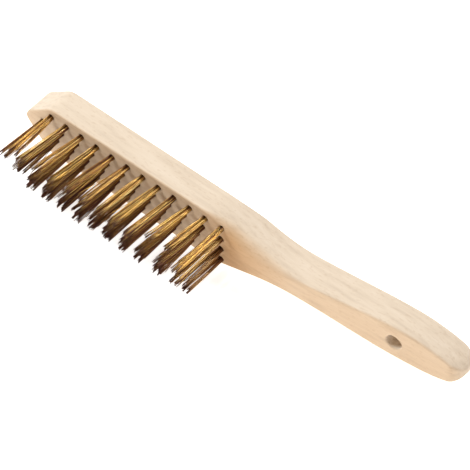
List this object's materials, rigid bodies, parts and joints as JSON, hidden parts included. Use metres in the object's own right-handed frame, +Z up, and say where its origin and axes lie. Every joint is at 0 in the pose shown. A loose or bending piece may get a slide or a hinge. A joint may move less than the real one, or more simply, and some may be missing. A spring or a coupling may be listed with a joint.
{
  "type": "wire brush",
  "caption": "Hand wire brush: one-piece beech body with a pointed block and a swept grip, and staggered rows of folded brass-coated steel wire tufts.",
  "frame": {"origin": "centre of the bounding box in plan, on the surface that the brush lies on", "axes": "+X along the brush from the nose to the handle end; -Y the way the wires point, +Y the back of the body; +Z up, across the brush, which lies on its side"},
  "size_m": [0.29, 0.0684, 0.037],
  "materials": {
    "beech": "raw sanded beech, no lacquer",
    "brass_coated_wire": "drawn steel wire with a thin brass coating, cut ends dark",
    "anchor_steel": "flat rolled steel wire, sheared"
  },
  "bodies": {
    "root": {"handle": "beech", "tuft_01": "brass_coated_wire", "tuft_02": "brass_coated_wire", "tuft_03": "brass_coated_wire", "tuft_04": "brass_coated_wire", "tuft_05": "brass_coated_wire", "tuft_06": "brass_coated_wire", "tuft_07": "brass_coated_wire", "tuft_08": "brass_coated_wire", "tuft_09": "brass_coated_wire", "tuft_10": "brass_coated_wire", "tuft_11": "brass_coated_wire", "tuft_12": "brass_coated_wire", "tuft_13": "brass_coated_wire", "tuft_14": "brass_coated_wire", "tuft_15": "brass_coated_wire", "tuft_16": "brass_coated_wire", "tuft_17": "brass_coated_wire", "tuft_18": "brass_coated_wire", "tuft_19": "brass_coated_wire", "tuft_20": "brass_coated_wire", "tuft_21": "brass_coated_wire", "tuft_22": "brass_coated_wire", "tuft_23": "brass_coated_wire", "tuft_24": "brass_coated_wire", "tuft_25": "brass_coated_wire", "tuft_26": "brass_coated_wire", "tuft_27": "brass_coated_wire", "tuft_28": "brass_coated_wire", "tuft_29": "brass_coated_wire", "tuft_30": "brass_coated_wire", "tuft_31": "brass_coated_wire", "tuft_32": "brass_coated_wire", "tuft_33": "brass_coated_wire", "tuft_34": "brass_coated_wire", "tuft_35": "brass_coated_wire", "tuft_36": "brass_coated_wire", "tuft_37": "brass_coated_wire", "tuft_38": "brass_coated_wire", "tuft_39": "brass_coated_wire", "tuft_40": "brass_coated_wire", "tuft_41": "brass_coated_wire", "tuft_42": "brass_coated_wire", "tuft_43": "brass_coated_wire", "tuft_44": "brass_coated_wire", "tuft_45": "brass_coated_wire", "anchors_row_1": "anchor_steel", "anchors_row_2": "anchor_steel", "anchors_row_3": "anchor_steel", "anchors_row_4": "anchor_steel"}
  },
  "joints": []
}
